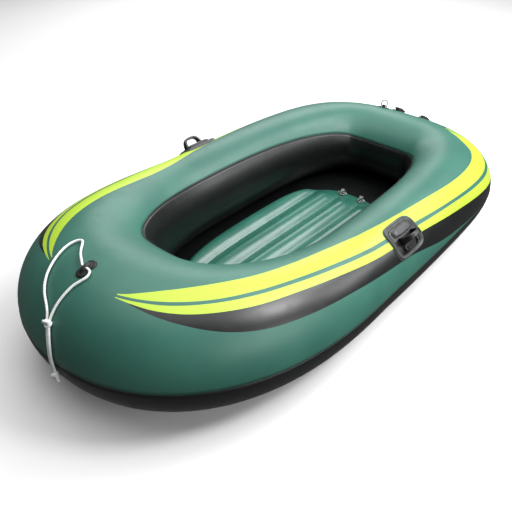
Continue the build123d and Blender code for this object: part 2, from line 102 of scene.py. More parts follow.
class Finish:
    """One material: a Principled shader and the nodes that vary its colour, roughness and relief."""

    def __init__(self, name, **constants):
        self.material = bpy.data.materials.new(name)
        self.material.use_nodes = True
        self.tree = self.material.node_tree
        self.shader = self.tree.nodes["Principled BSDF"]
        for socket, value in constants.items():
            self.shader.inputs[socket.replace("_", " ")].default_value = value
        self.place = self.node("ShaderNodeTexCoord", out="Object")

    def node(self, kind, settings=None, inputs=None, out=0):
        made = self.tree.nodes.new(kind)
        for name, value in (settings or {}).items():
            setattr(made, name, value)
        for name, value in (inputs or {}).items():
            if isinstance(value, Value):
                self.tree.links.new(value.socket, made.inputs[name])
            else:
                made.inputs[name].default_value = value
        return Value(self, made.outputs[out])

    def noise(self, scale, detail=3.0):
        """Cloudy noise from 0 to 1, with that many clouds to the metre."""
        values = {"Vector": self.place, "Scale": scale, "Detail": detail}
        return self.node("ShaderNodeTexNoise", None, values)

    def mixed(self, share, first, second):
        """From the first colour, at a share of 0, to the second, at 1."""
        return self.node("ShaderNodeMix", {"data_type": "RGBA"}, {0: share, 6: first, 7: second}, out=2)

    def clamped(self, value, low, high):
        """0 below the low value and 1 above the high one, with a smooth step between them."""
        values = {"Value": value, "From Min": low, "From Max": high}
        return self.node("ShaderNodeMapRange", {"interpolation_type": "SMOOTHSTEP"}, values)

    def set(self, socket, value):
        self.tree.links.new(value.socket, self.shader.inputs[socket])

    def relief(self, height, distance, strength, under=None):
        values = {"Height": height, "Distance": distance, "Strength": strength}
        if under:
            values["Normal"] = under
        return self.node("ShaderNodeBump", None, values)


def colour(red, green, blue):
    """Linear colour from the usual 0 to 255 values."""
    shares = [value / 255 for value in (red, green, blue)]
    return tuple(s / 12.92 if s <= 0.04045 else ((s + 0.055) / 1.055) ** 2.4 for s in shares) + (1.0,)


# How many there are to the metre, on inflated film, on mouldings, on clear film and on the cord.
FILM_CLOUDS, FILM_SCUFFS, FILM_WAVES, FILM_EMBOSS = 5.0, 38.0, 7.0, 700.0
MOULD_PATCHES, MOULD_GRAIN = 55.0, 1400.0
CLEAR_CLOUDS, CLEAR_SMEARS = 60.0, 140.0
CORD_GRIME = 90.0
# How deep the relief is, in metres, and how far the roughness strays.
FILM_WAVE_DEPTH, FILM_EMBOSS_DEPTH, MOULD_GRAIN_DEPTH, STRAND_DEPTH = 0.004, 0.00005, 0.00008, 0.0006
FILM_ROUGHNESS_SPREAD, MOULD_ROUGHNESS_SPREAD, CLEAR_ROUGHNESS_SPREAD = 0.07, 0.1, 0.14
CLEAR_SMOOTHEST = 0.05
CORD_TURNS, CORD_STRANDS = 62.0, 3.0  # turns over a cord's whole length, and strands round it


def welded_pvc(name, base, deep, gloss):
    """Inflated film: a soft gloss, faint clouding, a fine emboss and the slack of a taut skin."""
    film = Finish(name, Roughness=gloss)
    cloud = film.clamped(film.noise(FILM_CLOUDS, 4.0), 0.35, 0.65)
    film.set("Base Color", film.mixed(cloud, base, deep))
    scuff = film.clamped(film.noise(FILM_SCUFFS, 6.0), 0.45, 0.75)
    film.set("Roughness", gloss - FILM_ROUGHNESS_SPREAD / 2 + scuff * FILM_ROUGHNESS_SPREAD)
    slack = film.relief(film.noise(FILM_WAVES, 1.0), FILM_WAVE_DEPTH, 0.2)
    emboss = film.relief(film.noise(FILM_EMBOSS, 1.0), FILM_EMBOSS_DEPTH, 0.4, under=slack)
    film.set("Normal", emboss)
    return film.material


def moulded(name, base, worn, gloss):
    """Moulded rubber or plastic with a fine spark-eroded grain and slightly polished patches."""
    part = Finish(name, Roughness=gloss)
    patch = part.clamped(part.noise(MOULD_PATCHES, 4.0), 0.4, 0.7)
    part.set("Base Color", part.mixed(patch, base, worn))
    part.set("Roughness", gloss + MOULD_ROUGHNESS_SPREAD / 2 - patch * MOULD_ROUGHNESS_SPREAD)
    part.set("Normal", part.relief(part.noise(MOULD_GRAIN, 2.0), MOULD_GRAIN_DEPTH, 0.6))
    return part.material


def clear_film(name):
    """Clear soft vinyl, slightly milky, as on small valves."""
    film = Finish(name, Transmission_Weight=0.85, IOR=1.46, Roughness=0.12)
    milk = film.noise(CLEAR_CLOUDS)
    film.set("Base Color", film.mixed(milk, colour(236, 240, 238), colour(208, 216, 212)))
    film.set("Roughness", film.noise(CLEAR_SMEARS) * CLEAR_ROUGHNESS_SPREAD + CLEAR_SMOOTHEST)
    return film.material


def braided_cord(name):
    """Twisted white polypropylene: slanting strands that follow the cord's own map."""
    cord = Finish(name, Roughness=0.5, Sheen_Weight=0.2)
    along = cord.node("ShaderNodeSeparateXYZ", None, {0: cord.node("ShaderNodeUVMap")})
    around = Value(cord, along.socket.node.outputs[1])
    turn = (along * CORD_TURNS + around * CORD_STRANDS) * 2 * pi
    lay = cord.node("ShaderNodeMath", {"operation": "SINE"}, {0: turn}) * 0.5 + 0.5
    grime = cord.clamped(cord.noise(CORD_GRIME, 4.0), 0.4, 0.8)
    # Darker with random grime, and with painted shade in the grooves between the strands.
    grime_and_groove_shade = grime * 0.5 + (1 - lay) * 0.25
    cord.set("Base Color", cord.mixed(grime_and_groove_shade, colour(246, 248, 246), colour(196, 204, 200)))
    cord.set("Normal", cord.relief(lay, STRAND_DEPTH, 0.8))
    return cord.material


GREEN = welded_pvc("green_film", colour(55, 109, 95), colour(49, 102, 89), 0.46)
LIME = welded_pvc("lime_print", colour(184, 216, 64), colour(177, 211, 56), 0.46)
PANEL_BLACK = welded_pvc("black_print", colour(20, 21, 22), colour(15, 16, 17), 0.35)
BLACK = welded_pvc("black_film", colour(16, 18, 18), colour(11, 13, 13), 0.4)
FLOOR_GREEN = welded_pvc("floor_film", colour(54, 112, 97), colour(46, 101, 87), 0.26)
PAD_GREY = moulded("pad_rubber", colour(62, 65, 65), colour(76, 79, 79), 0.4)
# The shelf's lighter grey is painted light: the moulding is near black, and this grey stands for light
# falling on the shelf's upper face.
LIT_SHELF_GREY = moulded("shelf_painted_light", colour(46, 48, 50), colour(60, 62, 64), 0.36)
HORN_BLACK = moulded("cradle_plastic", colour(10, 11, 11), colour(20, 21, 22), 0.3)
EYE_BLACK = moulded("eye_rubber", colour(6, 7, 7), colour(14, 15, 15), 0.5)
RING_GREY = moulded("ring_plastic", colour(26, 29, 28), colour(38, 41, 40), 0.52)
VALVE_BLACK = moulded("valve_plastic", colour(26, 30, 29), colour(38, 42, 41), 0.36)
CLEAR = clear_film("clear_film")
CORD_WHITE = braided_cord("white_cord")


# ---- the hull tube -------------------------------------------------------------------------------
BOW_REACH, STERN_REACH, HALF_BEAM = 0.630, 0.918, 0.382
BOW_POWER, STERN_POWER = 2.26, 3.35
WIDTHS = (0.145, 0.230, 0.150)  # half width of the section amidships, at the bow and at the stern
HEIGHTS = (0.157, 0.203, 0.146)
INNER_SEAM = (134.0, 139.0, 157.0)
BOW_EASE, STERN_EASE = 1.5, 2.1  # how late the sizes amidships give way to those of the ends
CORNER_STATION, CORNER_SPREAD, CORNER_BULGE = 137.0, 14.0, 0.24  # the stern's fuller corners
MIDSHIP = (STERN_REACH + WIDTHS[2] - BOW_REACH - WIDTHS[1]) / 2
SHEET = 0.001
SKIN_GAP = 0.0003  # room under a fitting that lies on the tube
NUDGE = 0.05  # degrees between the places that give a direction
MERGE = 1e-6  # points closer than this are one

# The outer and inner half width, the half height and the inner seam's angle go with the centre.
Section = namedtuple("Section", ("centre", "outward", "widths", "high", "seam"))


def centre_line(station):
    along, across = cos(radians(station)), sin(radians(station))
    reach, power = (BOW_REACH, BOW_POWER) if along >= 0 else (STERN_REACH, STERN_POWER)
    scale = (abs(along) ** power + abs(across) ** power) ** (-1 / power)
    return MIDSHIP + reach * scale * along, HALF_BEAM * scale * across


def blended(x, sizes):
    """A size at that place along the boat, from its values amidships, at the bow and at the stern."""
    middle, bow, stern = sizes
    if x >= MIDSHIP:
        return middle + (bow - middle) * min((x - MIDSHIP) / BOW_REACH, 1) ** BOW_EASE
    return middle + (stern - middle) * min((MIDSHIP - x) / STERN_REACH, 1) ** STERN_EASE


def section(station):
    """The tube's cross section at a station. Its outer half is fuller at the stern's corners."""
    x, y = centre_line(station)
    x0, y0 = centre_line(station - NUDGE)
    x1, y1 = centre_line(station + NUDGE)
    outward = Vector((y1 - y0, x0 - x1, 0)).normalized()
    high, wide = blended(x, HEIGHTS), blended(x, WIDTHS)
    off = (abs(station) - CORNER_STATION) / CORNER_SPREAD
    outer = wide * (1 + CORNER_BULGE * exp(-off * off))
    return Section(Vector((x, y, high)), outward, (outer, wide), high, blended(x, INNER_SEAM))


def on_section(cut, angle, lift=0.0):
    turn = radians(angle)
    wide = cut.widths[0] if cos(turn) > 0 else cut.widths[1]
    across = cut.outward * ((wide + lift) * cos(turn))
    return cut.centre + across + Vector((0, 0, (cut.high + lift) * sin(turn)))


def skin(station, angle, lift=0.0):
    return on_section(section(station), angle, lift)


class Seat:
    """A place on the tube. Local x runs towards the bow, y round the tube and z outwards.

    At the bow itself local x runs to starboard.
    """

    def __init__(self, station, angle):
        self.station, self.angle = station, angle
        along = skin(station - 2 * NUDGE, angle) - skin(station + 2 * NUDGE, angle)
        if station < 0:
            along = -along
        around = skin(station, angle + 2 * NUDGE) - skin(station, angle - 2 * NUDGE)
        out = along.cross(around).normalized()
        if out.dot(skin(station, angle, 1.0) - skin(station, angle)) < 0:
            out = -out
        along.normalize()
        self.matrix = Matrix((along, out.cross(along), out)).transposed().to_4x4()
        self.matrix.translation = skin(station, angle)
        self.inverse = self.matrix.inverted()

    def draped(self, point):
        """Where a flat pattern's point lands on the tube, with its z kept as height over the skin."""
        station, angle = self.station, self.angle
        for _ in range(3):
            here = self.inverse @ skin(station, angle, point.z)
            by_station = self.inverse @ skin(station + NUDGE, angle, point.z) - here
            by_angle = self.inverse @ skin(station, angle + NUDGE, point.z) - here
            size = by_station.x * by_angle.y - by_station.y * by_angle.x
            x, y = point.x - here.x, point.y - here.y
            station += NUDGE * (x * by_angle.y - y * by_angle.x) / size
            angle += NUDGE * (by_station.x * y - by_station.y * x) / size
        return skin(station, angle, point.z)

    def drape(self, shape):
        """Lays a flat pattern on the tube, bent to it."""
        for vert in shape.verts:
            vert.co = self.draped(vert.co)

    def stand(self, shape):
        """Puts a shape on the tube, unbent."""
        bmesh.ops.transform(shape, matrix=self.matrix, verts=shape.verts)


def smooth_step(value, low, high):
    share = min(max((value - low) / (high - low), 0.0), 1.0)
    return share * share * (3 - 2 * share)


def along_stops(stops, value):
    """A smooth line through stops of place and height, read at a place."""
    if value <= stops[0][0]:
        return stops[0][1]
    for index in range(len(stops) - 1):
        (start, low), (end, high) = stops[index], stops[index + 1]
        if value <= end:
            before = stops[max(index - 1, 0)]
            after = stops[min(index + 2, len(stops) - 1)]
            width = end - start
            leave = (high - before[1]) / max(end - before[0], 1e-6) * width
            arrive = (after[1] - low) / max(after[0] - start, 1e-6) * width
            s = (value - start) / width
            return (low * (2 * s**3 - 3 * s**2 + 1) + leave * (s**3 - 2 * s**2 + s)
                    + high * (3 * s**2 - 2 * s**3) + arrive * (s**3 - s**2))
    return stops[-1][1]


def make(shape, name, materials, replaces=()):
    """Turns a bmesh into a piece that rides on the hull."""
    mesh = bpy.data.meshes.new(name)
    shape.to_mesh(mesh)
    shape.free()
    mesh.shade_smooth()
    for material in materials:
        mesh.materials.append(material)
    piece = bpy.data.objects.new(name, mesh)
    scene.collection.objects.link(piece)
    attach(piece, "hull")
    if replaces:
        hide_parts(*replaces)
    return piece


def thicken(piece, thickness, offset=-1.0):
    wall = piece.modifiers.new("wall", "SOLIDIFY")
    wall.thickness = thickness
    wall.offset = offset
    return piece


# The printed pattern's edges, from the outer seam upwards: (station, section angle).
PANEL_LOW = ((0, 63), (16, 64), (20, 63), (26, 58.5), (33, 53), (39, 48), (45, 44), (52, 41.5), (60, 40.7),
             (74, 38.8), (84, 35), (91, 31.5), (99, 26), (110, 10.9), (120, 2.6), (127, 0.5), (139, 0.5),
             (144, 6), (148, 24), (152, 52), (156, 72), (160, 74), (180, 74))
NARROW_LOW = ((0, 64), (15, 65), (20, 63.8), (26, 61.9), (33, 60.7), (40, 60.8), (50, 61.5), (62, 62.8),
              (74, 60), (85, 54), (103, 42.7), (114, 32.9), (126, 23.2), (137, 16), (143, 17), (146, 32),
              (149, 52), (152, 67), (156, 74.6), (160, 74.8), (180, 74.8))
NARROW_HIGH = ((0, 65), (15, 65.5), (23, 66), (29, 66.3), (40, 68.2), (51, 70.2), (62, 71.4), (74, 69),
               (88, 61.8), (103, 51.4), (114, 44), (126, 36), (137, 32), (143, 39), (146, 49), (149, 63),
               (152, 73), (156, 75.4), (180, 75.6))
WIDE_LOW = ((0, 66.5), (15, 67.4), (23, 68.2), (29, 69.1), (40, 71.2), (52, 74.2), (64, 75.7), (76, 73.5),
            (89, 66.5), (103, 57), (114, 48.4), (126, 41), (136, 38.5), (143, 45), (146, 55), (148.5, 69),
            (151, 76), (156, 76.2), (180, 76.4))
WIDE_HIGH = ((0, 67.5), (15, 68), (17.5, 69.3), (23, 74), (29, 78.6), (41, 85.8), (54, 91.3), (66, 96),
             (76, 97.5), (86, 93), (96.5, 82.5), (110, 72.2), (122, 63), (131, 60.4), (137, 63), (142, 71.5),
             (147, 75.8), (151, 76.8), (180, 77.2))
BANDS = (PANEL_LOW, NARROW_LOW, NARROW_HIGH, WIDE_LOW, WIDE_HIGH)
BAND_ROWS = (14, 6, 3, 2, 6, 22)
# Band number: (material index, first station, last station).
PRINTED = {0: (2, 127, 139), 1: (2, 20, 156), 2: (1, 15.5, 154), 4: (1, 15.5, 151)}
COLUMNS = 720
STARBOARD_DROP = 5.0  # how much lower, in section angle, the print sits on the starboard side
DROP_AT_BOW, DROP_AT_STERN = 14, 40  # degrees of station over which that drop sets in at each end
LOWEST_EDGE, EDGE_ROOM = 0.2, 0.1  # the lowest edge's least section angle, and each next edge's extra
SEAM_ROOM = 0.06  # section angle between a sheet's edge and the seam
PUCKER_DEPTH, PUCKER_REACH = 0.0005, 0.028
PUCKER_WAVES, PUCKER_RIPPLES = 42.0, 95.0  # to the metre
OUTER_PUCKER = 0.6  # how strong the gathers at the outer seam are beside those at the inner one


def pucker(run, from_seam):
    """Small gathers where the welded edge is shorter than the sheet beside it."""
    wave = noise.noise(Vector((run * PUCKER_WAVES, 0.0, 3.7)))
    ripple = noise.noise(Vector((run * PUCKER_RIPPLES, 5.0, 1.3)))
    return PUCKER_DEPTH * (wave + 0.5 * ripple) * exp(-((from_seam / PUCKER_REACH) ** 2))


def plain(station, row):
    """One material all over."""
    return 0


def tube_band(rows, angle_of, material_of, lift_of):
    """A skin round the whole tube: columns follow the boat, rows go up the section."""
    shape = bmesh.new()
    bmesh.ops.create_grid(shape, x_segments=COLUMNS, y_segments=rows, size=0.5)
    for face in shape.faces:
        middle = face.calc_center_median()
        face.material_index = material_of(360 * middle.x, int((middle.y + 0.5) * rows))
    cuts, lengths, length = [], [], 0.0
    for column in range(COLUMNS + 1):
        cuts.append(section(360 * column / COLUMNS - 180))
        if column:
            length += (cuts[-1].centre - cuts[-2].centre).length
        lengths.append(length)
    for vert in shape.verts:
        column = round((vert.co.x + 0.5) * COLUMNS)
        row = round((vert.co.y + 0.5) * rows)
        angle = angle_of(360 * column / COLUMNS - 180, row, cuts[column])
        vert.co = on_section(cuts[column], angle, lift_of(lengths[column], angle, cuts[column]))
    bmesh.ops.remove_doubles(shape, verts=shape.verts, dist=MERGE)
    bmesh.ops.recalc_face_normals(shape, faces=shape.faces)
    return shape


ROW_STARTS = [sum(BAND_ROWS[:index]) for index in range(len(BAND_ROWS) + 1)]


def band_of(row):
    return max(index for index in range(len(BAND_ROWS)) if row >= ROW_STARTS[index])


def upper_angle(station, row, cut):
    """Section angle of a row. Rows are shared out between the edges of the print."""
    band = band_of(row)
    drop = STARBOARD_DROP * smooth_step(-station, 0, DROP_AT_BOW)
    drop *= smooth_step(180 + station, 0, DROP_AT_STERN)
    printed = [max(along_stops(stops, abs(station)) - drop, LOWEST_EDGE + EDGE_ROOM * index)
               for index, stops in enumerate(BANDS)]
    edges = [SEAM_ROOM, *printed, cut.seam - SEAM_ROOM]
    share = (row - ROW_STARTS[band]) / BAND_ROWS[band]
    return edges[band] + (edges[band + 1] - edges[band]) * share


def upper_material(station, row):
    index, first, last = PRINTED.get(band_of(row), (0, 0, 0))
    return index if first < abs(station) < last else 0


def upper_lift(run, angle, cut):
    from_inner, from_outer = radians(cut.seam - angle) * cut.high, radians(angle) * cut.high
    return pucker(run, from_inner) + OUTER_PUCKER * pucker(run, from_outer)


def hull_upper():
    shape = tube_band(sum(BAND_ROWS), upper_angle, upper_material, upper_lift)
    piece = make(shape, "hull_upper_skin", (GREEN, LIME, PANEL_BLACK),
                 replaces=("tube_upper_sheet",))
    thicken(piece, SHEET)


LOWER_ROWS = 48


def lower_angle(station, row, cut):
    start = cut.seam + SEAM_ROOM
    return start + (360 - SEAM_ROOM - start) * row / LOWER_ROWS


def lower_lift(run, angle, cut):
    from_inner, from_outer = radians(angle - cut.seam) * cut.high, radians(360 - angle) * cut.high
    return pucker(run, from_inner) + OUTER_PUCKER * pucker(run, from_outer)


def hull_lower():
    shape = tube_band(LOWER_ROWS, lower_angle, plain, lower_lift)
    piece = make(shape, "hull_lower_skin", (BLACK,), replaces=("tube_lower_sheet",))
    thicken(piece, SHEET)


WELD_WIDTH, WELD_HEIGHT, WELD_ROWS = 0.0035, 0.0006, 4
WELD_LAP = 0.4  # how far, as a share of its width, a weld lies towards the black sheet
WELD_LIFT = 0.0002


def weld_strip(name, seam_of, into_black):
    """The lapped edge of the black sheet, a few millimetres wide.

    The black sheet is on the side where section angles grow if into_black is 1, and shrink if it is -1.
    """
    def angle_of(station, row, cut):
        across = WELD_WIDTH * (row / WELD_ROWS - 0.5 + into_black * WELD_LAP)
        return seam_of(cut) + across / cut.high * 180 / pi

    def lift_of(run, angle, cut):
        from_middle = radians(angle - seam_of(cut)) * cut.high / WELD_WIDTH - into_black * WELD_LAP
        return WELD_HEIGHT * (1 - (2 * from_middle) ** 4) + WELD_LIFT + pucker(run, 0.0)

    piece = make(tube_band(WELD_ROWS, angle_of, plain, lift_of), name, (BLACK,))
    thicken(piece, WELD_HEIGHT)


hull_upper()
hull_lower()
weld_strip("outer_weld", lambda cut: 0.0, -1)
weld_strip("inner_weld", lambda cut: cut.seam, 1)


# ---- floor and bottom ----------------------------------------------------------------------------
FLOOR_BASE, FLOOR_GROOVE, FLOOR_CROWN = 0.0018, 0.024, 0.026
VALLEY = 0.09  # rounding at the bottom of each groove, as a share of half a rib
FLOOR_MIDDLE, FLOOR_LENGTH, FLOOR_WIDTH, FLOOR_POWER = MIDSHIP - 0.142, 0.482, 0.244, 2.8
RIBS = 5
RIB_PITCH = 2 * FLOOR_WIDTH / RIBS
LAND = 0.084  # low stretch at the stern end, where the valves sit
LAND_RISE = 0.006
RIBS_START, RIBS_FULL = 0.6, 1.6  # where the ribs begin and are full, in lengths of that stretch
FLOOR_EDGE = 0.030  # how far in the floor's edge is rounded
BOW_GATHER = 0.8  # how much of the outline's narrowing towards the bow the ribs follow
FLOOR_LIFT = 0.0005
FLOOR_GRID = (180, 240)


def outline_width(along):
    """Half width of the floor as a share of its widest, at a share of its half length."""
    return max(1 - abs(along) ** FLOOR_POWER, 0.0) ** (1 / FLOOR_POWER)


def floor_height(along, across):
    """Height of the air floor over its base at shares of its half length and half width."""
    radial = (abs(along) ** FLOOR_POWER + abs(across) ** FLOOR_POWER) ** (1 / FLOOR_POWER)
    edge = min((1 - min(radial, 1)) * FLOOR_WIDTH / FLOOR_EDGE, 1.0)
    rounding = sqrt(1 - (1 - edge) ** 2)
    gather = 1 - BOW_GATHER * (1 - outline_width(max(along, 0.0)))
    spot = across * FLOOR_WIDTH / gather / RIB_PITCH
    from_valley = hypot(1 - 2 * abs(spot - round(spot)), VALLEY)
    x = along * FLOOR_LENGTH
    fade = smooth_step(x + FLOOR_LENGTH, RIBS_START * LAND, RIBS_FULL * LAND)
    rib = FLOOR_CROWN * min(from_valley * (2 - from_valley), 1.0)
    return (FLOOR_GROOVE + rib * fade + LAND_RISE * (1 - fade)) * rounding


def rounded_block(shape, middle, half_size, power, height_of, base, segments):
    """A block with a superellipse outline. height_of gets shares of the half length and half width."""
    made = bmesh.ops.create_grid(shape, x_segments=segments[0], y_segments=segments[1], size=1.0)
    faces = {face for vert in made["verts"] for face in vert.link_faces}
    for vert in made["verts"]:
        p, q = vert.co.x, vert.co.y
        radial = (abs(p) ** power + abs(q) ** power) ** (1 / power)
        ratio = max(abs(p), abs(q)) / max(radial, 1e-9)
        along, across = p * ratio, q * ratio
        vert.co = Vector((middle[0] + half_size[0] * along, middle[1] + half_size[1] * across,
                          base + height_of(along, across)))
    under = bmesh.ops.extrude_face_region(shape, geom=list(faces))
    for part in under["geom"]:
        if isinstance(part, bmesh.types.BMVert):
            part.co.z = base
    bmesh.ops.recalc_face_normals(shape, faces=shape.faces)


def air_floor():
    """The ribbed floor in one piece, so that its webs and its bottom sheet are inside it."""
    shape = bmesh.new()
    rounded_block(shape, (FLOOR_MIDDLE, 0.0), (FLOOR_LENGTH, FLOOR_WIDTH), FLOOR_POWER,
                  lambda along, across: floor_height(along, across) + FLOOR_LIFT, FLOOR_BASE, FLOOR_GRID)
    make(shape, "air_floor", (FLOOR_GREEN,),
         replaces=("floor_top_sheet", "floor_bottom_sheet", "floor_webs"))


air_floor()


# ---- oarlocks ------------------------------------------------------------------------------------
OARLOCK_STATION, OARLOCK_ANGLE = -98.5, 51.0
PAD_HALF, PAD_POWER, PAD_THICK = (0.075, 0.059), 5.0, 0.003
BEAD_HEIGHT, BEAD_WIDTH = 0.0045, 0.0075  # the pad's raised rim
PLATE_HALF, PLATE_BASE, PLATE_THICK, PLATE_EDGE = (0.063, 0.047), 0.0035, 0.0025, 0.003
CRADLE_HALF, CRADLE_POWER, CRADLE_THICK = (0.044, 0.019), 3.2, 0.002
CRADLE_SPAN, LIP_HEIGHT, LIP_WIDTH = 0.022, 0.0095, 0.0075  # the cradle's lip, over that half width
SHELF_HALF, SHELF_POWER, SHELF_HEIGHT, SHELF_EDGE = (0.052, 0.0155), 3.6, 0.0115, 0.006
ARCH_HALF, ARCH_HEIGHT, ARCH_WALL, ARCH_POWER = 0.0355, 0.0455, 0.009, 3.2
ARCH_TOP, ARCH_FLARE, ARCH_EDGE = 0.016, 0.016, 0.0022  # width at the top, and more of it at the feet
ARCH_PLACE, SHELF_PLACE, CRADLE_PLACE = -0.006, 0.027, -0.027
FITTING_BASE = 0.0045  # where the shelf and the cradle start, over the tube


def edge_distance(along, across, power, width):
    return (1 - min((abs(along) ** power + abs(across) ** power) ** (1 / power), 1.0)) * width


def round_over(distance, radius):
    """Share of full height at a distance inside a rounded edge."""
    return sqrt(1 - (1 - min(distance / radius, 1.0)) ** 2)


def beaded(width, power, low, bead, bead_width):
    """Height of a plate with a raised round bead along its edge."""
    def height_of(along, across):
        off = edge_distance(along, across, power, width) / bead_width
        swell = sqrt(max(1 - (2 * off - 1) ** 2, 0.0))
        return low * min(off * 4, 1.0) + bead * swell
    return height_of


def domed(width, power, height, radius):
    return lambda along, across: height * round_over(edge_distance(along, across, power, width), radius)


def oarlock_pad(shape):
    """The welded pad: a thin plate with a raised rim."""
    rim = beaded(PAD_HALF[1], PAD_POWER, PAD_THICK, BEAD_HEIGHT, BEAD_WIDTH)
    rounded_block(shape, (0, 0), PAD_HALF, PAD_POWER, rim, SKIN_GAP, (96, 80))


def oarlock_plate(shape):
    """The moulding's plate, with the lipped cradle under the arch."""
    plate = domed(PLATE_HALF[1], PAD_POWER, PLATE_THICK, PLATE_EDGE)
    cradle = beaded(CRADLE_SPAN, CRADLE_POWER, CRADLE_THICK, LIP_HEIGHT, LIP_WIDTH)
    rounded_block(shape, (0, 0), PLATE_HALF, PAD_POWER, plate, PLATE_BASE, (60, 48))
    rounded_block(shape, (0, CRADLE_PLACE), CRADLE_HALF, CRADLE_POWER, cradle, FITTING_BASE, (72, 44))


def oarlock_shelf(shape):
    """The raised shelf on the upper side of the arch."""
    shelf = domed(SHELF_HALF[1], SHELF_POWER, SHELF_HEIGHT, SHELF_EDGE)
    rounded_block(shape, (0, SHELF_PLACE), SHELF_HALF, SHELF_POWER, shelf, FITTING_BASE, (64, 28))


def oarlock_arch(shape):
    """An upright loop, wide at its feet, that the oar's shaft lies in."""
    bmesh.ops.create_grid(shape, x_segments=64, y_segments=10, size=0.5)
    for vert in shape.verts:
        turn, across = pi * (vert.co.x + 0.5), vert.co.y
        out, up = cos(turn), sin(turn)
        x = ARCH_HALF * abs(out) ** (2 / ARCH_POWER) * (1 if out > 0 else -1)
        z = ARCH_HEIGHT * up ** (2 / ARCH_POWER)
        width = ARCH_TOP + ARCH_FLARE * (1 - z / ARCH_HEIGHT) ** 1.5
        vert.co = Vector((x, ARCH_PLACE + across * width, z))


def mirrored(shape):
    bmesh.ops.scale(shape, vec=(1, -1, 1), verts=shape.verts)
    bmesh.ops.reverse_faces(shape, faces=shape.faces)


def soften(piece, width):
    edge = piece.modifiers.new("edge", "BEVEL")
    edge.width = width
    edge.segments = 3
    edge.limit_method = "ANGLE"


# What builds each piece, how it lies on the tube, its name, slot and material, and what it replaces.
OARLOCK_PIECES = (
    (oarlock_pad, Seat.drape, "oarlock_pad_skin", "grey_rubber", PAD_GREY, ("oarlock_pad",)),
    (oarlock_plate, Seat.drape, "oarlock_plate", "black_rubber", HORN_BLACK, ()),
    # The shelf takes the lighter grey of painted light on its upper face.
    (oarlock_shelf, Seat.drape, "oarlock_shelf", "black_rubber", LIT_SHELF_GREY, ()),
    (oarlock_arch, Seat.stand, "oarlock_arch", "black_rubber", HORN_BLACK, ("oarlock_horn",)),
)


def oarlock(side):
    """One side's oarlock. It is shaped on the starboard side, and mirrored for the port one."""
    seat = Seat(OARLOCK_STATION, OARLOCK_ANGLE)
    for build, settle, name, slot, material, nodes in OARLOCK_PIECES:
        shape = bmesh.new()
        build(shape)
        settle(seat, shape)
        if side == "port":
            mirrored(shape)
        replaced = [f"{node}_{side}" for node in nodes]
        piece = make(shape, f"{name}_{side}", (material,), replaces=replaced)
        if build is oarlock_arch:
            thicken(piece, ARCH_WALL, 0.0)
            soften(piece, ARCH_EDGE)


for oarlock_side in ("port", "starboard"):
    oarlock(oarlock_side)


# ---- bow eye -------------------------------------------------------------------------------------
EYE_STATION, EYE_ANGLE = 0.0, 74.0
LOBE_PLACE, LOBE_RADIUS, LOBE_HEIGHT, LOBE_EDGE = 0.016, 0.017, 0.0048, 0.005
EYE_ARCH_HALF, EYE_ARCH_POWER, EYE_ARCH_HEIGHT = (0.0085, 0.021), 2.4, 0.0165
EYE_VOXEL, KNOT_VOXEL = 0.001, 0.0009


def joined(piece, voxel):
    """Turns touching shells into one, with a small fillet where they meet."""
    skin_over = piece.modifiers.new("join", "REMESH")
    skin_over.mode = "VOXEL"
    skin_over.voxel_size = voxel
    skin_over.use_smooth_shade = True
    ease = piece.modifiers.new("ease", "SMOOTH")
    ease.iterations = 4


def bow_eye():
    """Two flat round lobes, one behind the other, with a low arch over the line between them."""
    shape = bmesh.new()
    lobe = domed(LOBE_RADIUS, 2.0, LOBE_HEIGHT, LOBE_EDGE)
    for place in (-LOBE_PLACE, LOBE_PLACE):
        rounded_block(shape, (0, place), (LOBE_RADIUS, LOBE_RADIUS), 2.0, lobe, SKIN_GAP, (40, 40))
    arch = domed(EYE_ARCH_HALF[0], EYE_ARCH_POWER, EYE_ARCH_HEIGHT, EYE_ARCH_HALF[0])
    rounded_block(shape, (0, 0), EYE_ARCH_HALF, EYE_ARCH_POWER, arch, SKIN_GAP, (24, 48))
    Seat(EYE_STATION, EYE_ANGLE).drape(shape)
    piece = make(shape, "bow_eye_moulding", (EYE_BLACK,), replaces=("bow_eye",))
    joined(piece, EYE_VOXEL)


bow_eye()


# ---- bow line ------------------------------------------------------------------------------------
CORD = 0.007
STARBOARD_ROUTE = (
    (0.800, -0.012, 0.406), (0.791, -0.028, 0.409), (0.780, -0.048, 0.409), (0.765, -0.068, 0.410),
    (0.747, -0.086, 0.410), (0.735, -0.102, 0.410), (0.745, -0.115, 0.408), (0.762, -0.120, 0.406),
    (0.783, -0.120, 0.402), (0.803, -0.116, 0.397), (0.824, -0.110, 0.390), (0.844, -0.102, 0.382),
    (0.864, -0.091, 0.373), (0.882, -0.077, 0.362), (0.897, -0.059, 0.353), (0.908, -0.040, 0.344),
    (0.918, -0.021, 0.335), (0.928, -0.006, 0.325), (0.939, 0.002, 0.310), (0.948, 0.011, 0.292),
    (0.957, 0.019, 0.273), (0.964, 0.025, 0.251), (0.969, 0.028, 0.227), (0.971, 0.030, 0.200),
    (0.971, 0.033, 0.174),
)
PORT_ROUTE = (
    (0.800, 0.012, 0.406), (0.801, 0.025, 0.407), (0.815, 0.031, 0.400), (0.834, 0.024, 0.393),
    (0.852, 0.015, 0.385), (0.871, 0.011, 0.374), (0.890, 0.008, 0.361), (0.907, 0.006, 0.346),
    (0.923, 0.006, 0.329), (0.938, 0.010, 0.311), (0.948, 0.019, 0.293), (0.957, 0.027, 0.273),
    (0.964, 0.033, 0.252), (0.969, 0.036, 0.228), (0.971, 0.038, 0.200), (0.971, 0.041, 0.174),
)
UPPER_KNOT = Vector((0.940, 0.006, 0.311))
END_KNOT = Vector((0.972, 0.037, 0.166))
KNOT_TURNS, KNOT_TURN_RADIUS, KNOT_CORD = 3, 0.0074, CORD * 0.6
TURN_TWIST = 1.05  # radians between one turn of a knot and the next
TURN_SHIFT = Vector((0.0012, -0.0008, 0.0042))


